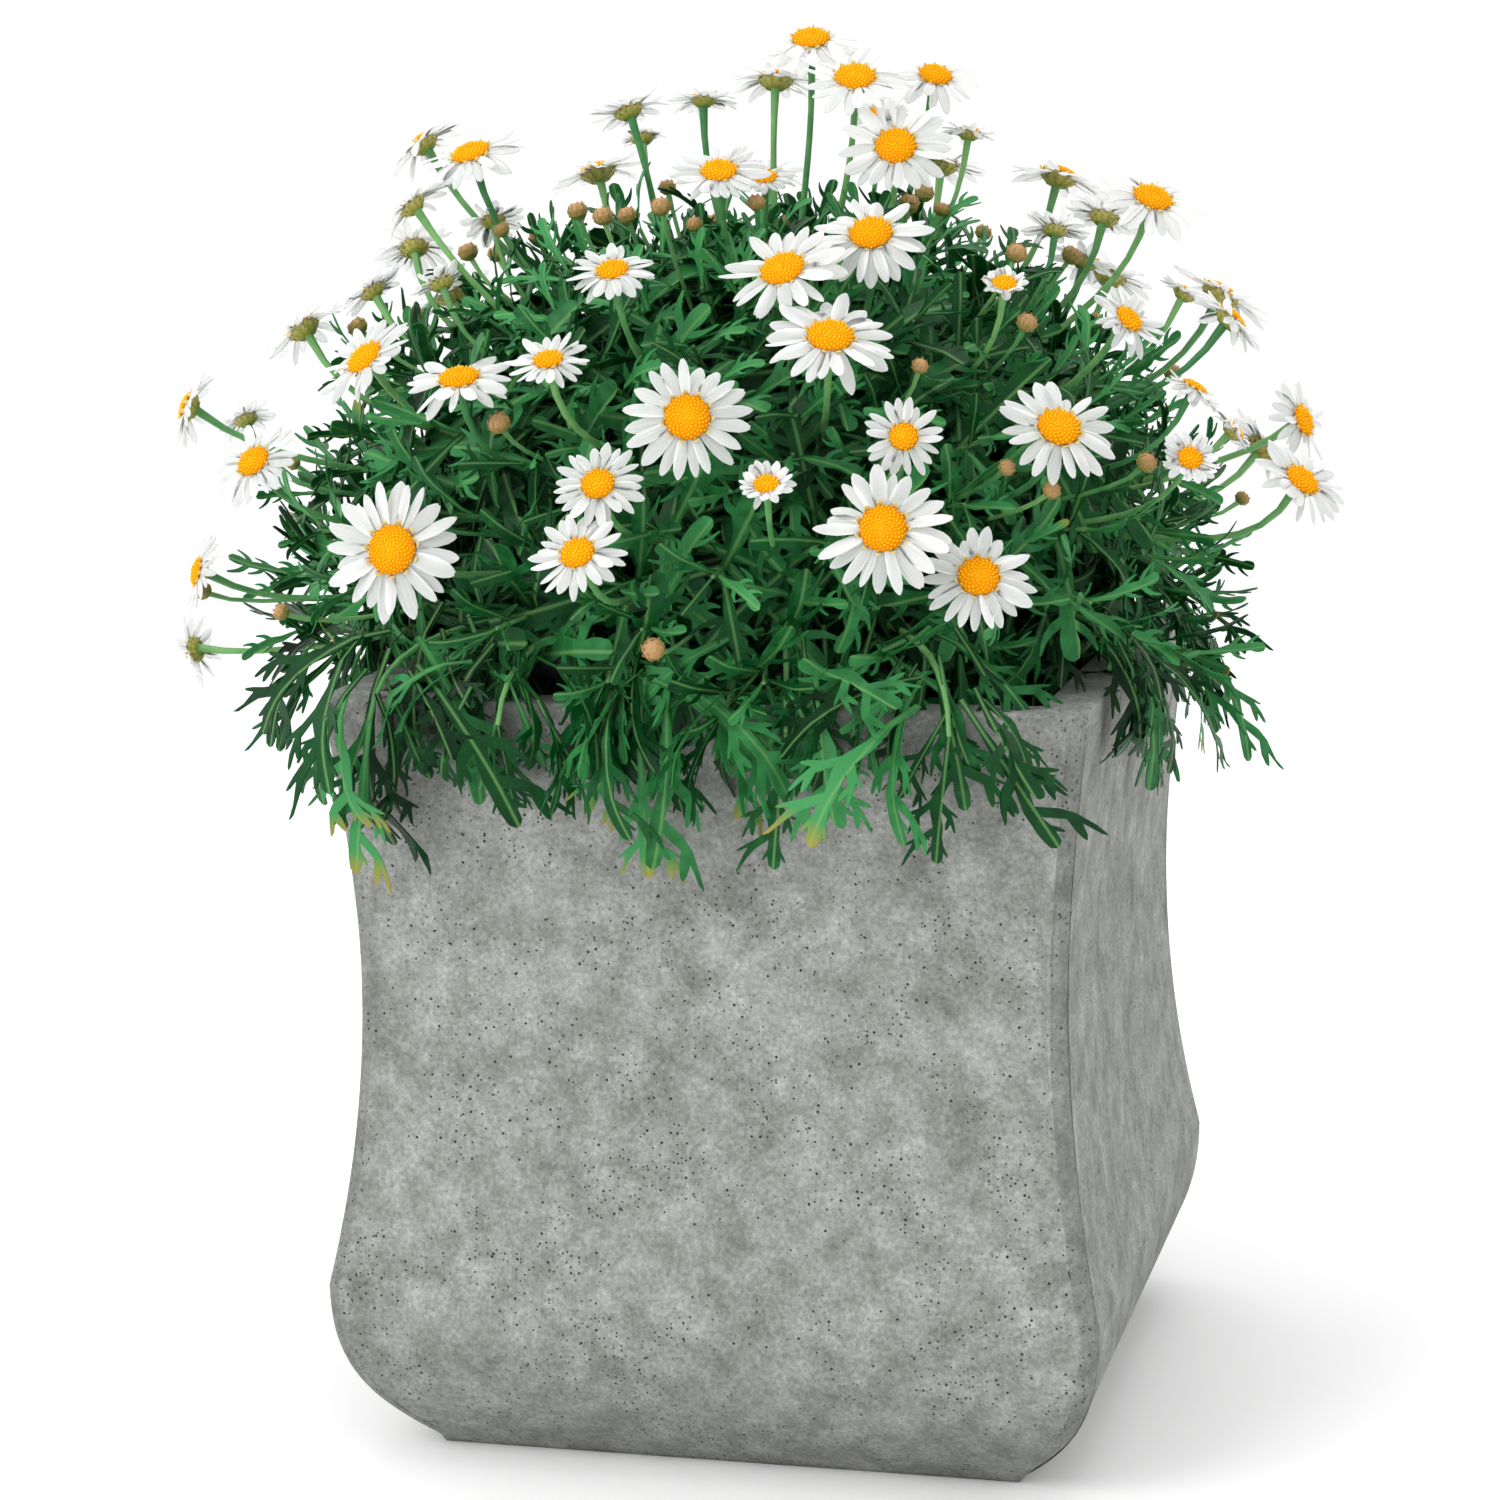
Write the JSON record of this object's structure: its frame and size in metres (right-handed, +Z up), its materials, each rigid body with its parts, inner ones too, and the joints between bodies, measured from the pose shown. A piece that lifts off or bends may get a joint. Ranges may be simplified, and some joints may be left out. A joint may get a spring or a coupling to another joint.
{
  "type": "planter box",
  "caption": "Square concrete planter box with swelling walls, holding a flowering daisy bush that lifts out in its nursery pot.",
  "frame": {"origin": "centre of the shell's flat underside", "axes": "+Z up, -Y towards the front, +X to the right"},
  "size_m": [0.621, 0.5852, 0.736],
  "materials": {
    "fibre_concrete": "matte",
    "mesh_plastic": "matte",
    "baked_clay": "matte",
    "black_plastic": "satin",
    "soil": "matte",
    "bark": "matte",
    "green_wood": "matte",
    "leaf": "satin",
    "petal": "matte"
  },
  "bodies": {
    "shell": {"planter_shell": "fibre_concrete", "drain_mat": "mesh_plastic", "clay_pebble_layer": "baked_clay"},
    "insert": {"bark_chip_01": "bark", "bark_chip_02": "bark", "bark_chip_03": "bark", "bark_chip_04": "bark", "bark_chip_05": "bark", "flower_spray_01": "petal", "flower_spray_02": "petal", "flower_spray_03": "petal", "flower_spray_04": "petal", "flower_spray_05": "petal", "flower_spray_06": "petal", "flower_spray_07": "petal", "flower_spray_08": "petal", "flower_spray_09": "petal", "flower_spray_10": "petal", "flower_spray_11": "petal", "flower_spray_12": "petal", "flower_spray_13": "petal", "flower_spray_14": "petal", "flower_spray_15": "petal", "flower_spray_16": "petal", "flower_spray_17": "petal", "hanging_leaf_01": "leaf", "hanging_leaf_02": "leaf", "hanging_leaf_03": "leaf", "hanging_leaf_04": "leaf", "hanging_leaf_05": "leaf", "hanging_leaf_06": "leaf", "hanging_leaf_07": "leaf", "hanging_leaf_08": "leaf", "hanging_leaf_09": "leaf", "hanging_leaf_10": "leaf", "hanging_leaf_11": "leaf", "hanging_leaf_12": "leaf", "leafy_shoot_01": "leaf", "leafy_shoot_02": "leaf", "leafy_shoot_03": "leaf", "leafy_shoot_04": "leaf", "leafy_shoot_05": "leaf", "leafy_shoot_06": "leaf", "leafy_shoot_07": "leaf", "leafy_shoot_08": "leaf", "leafy_shoot_09": "leaf", "leafy_shoot_10": "leaf", "leafy_shoot_11": "leaf", "leafy_shoot_12": "leaf", "leafy_shoot_13": "leaf", "leafy_shoot_14": "leaf", "leafy_shoot_15": "leaf", "leafy_shoot_16": "leaf", "leafy_shoot_17": "leaf", "nursery_pot": "black_plastic", "potting_soil": "soil", "woody_crown": "green_wood"}
  },
  "joints": [
    {"name": "insert_lift", "type": "slide", "parent": "shell", "child": "insert", "axis": [0, 0, 1], "range_m": [0, 0.3]}
  ]
}
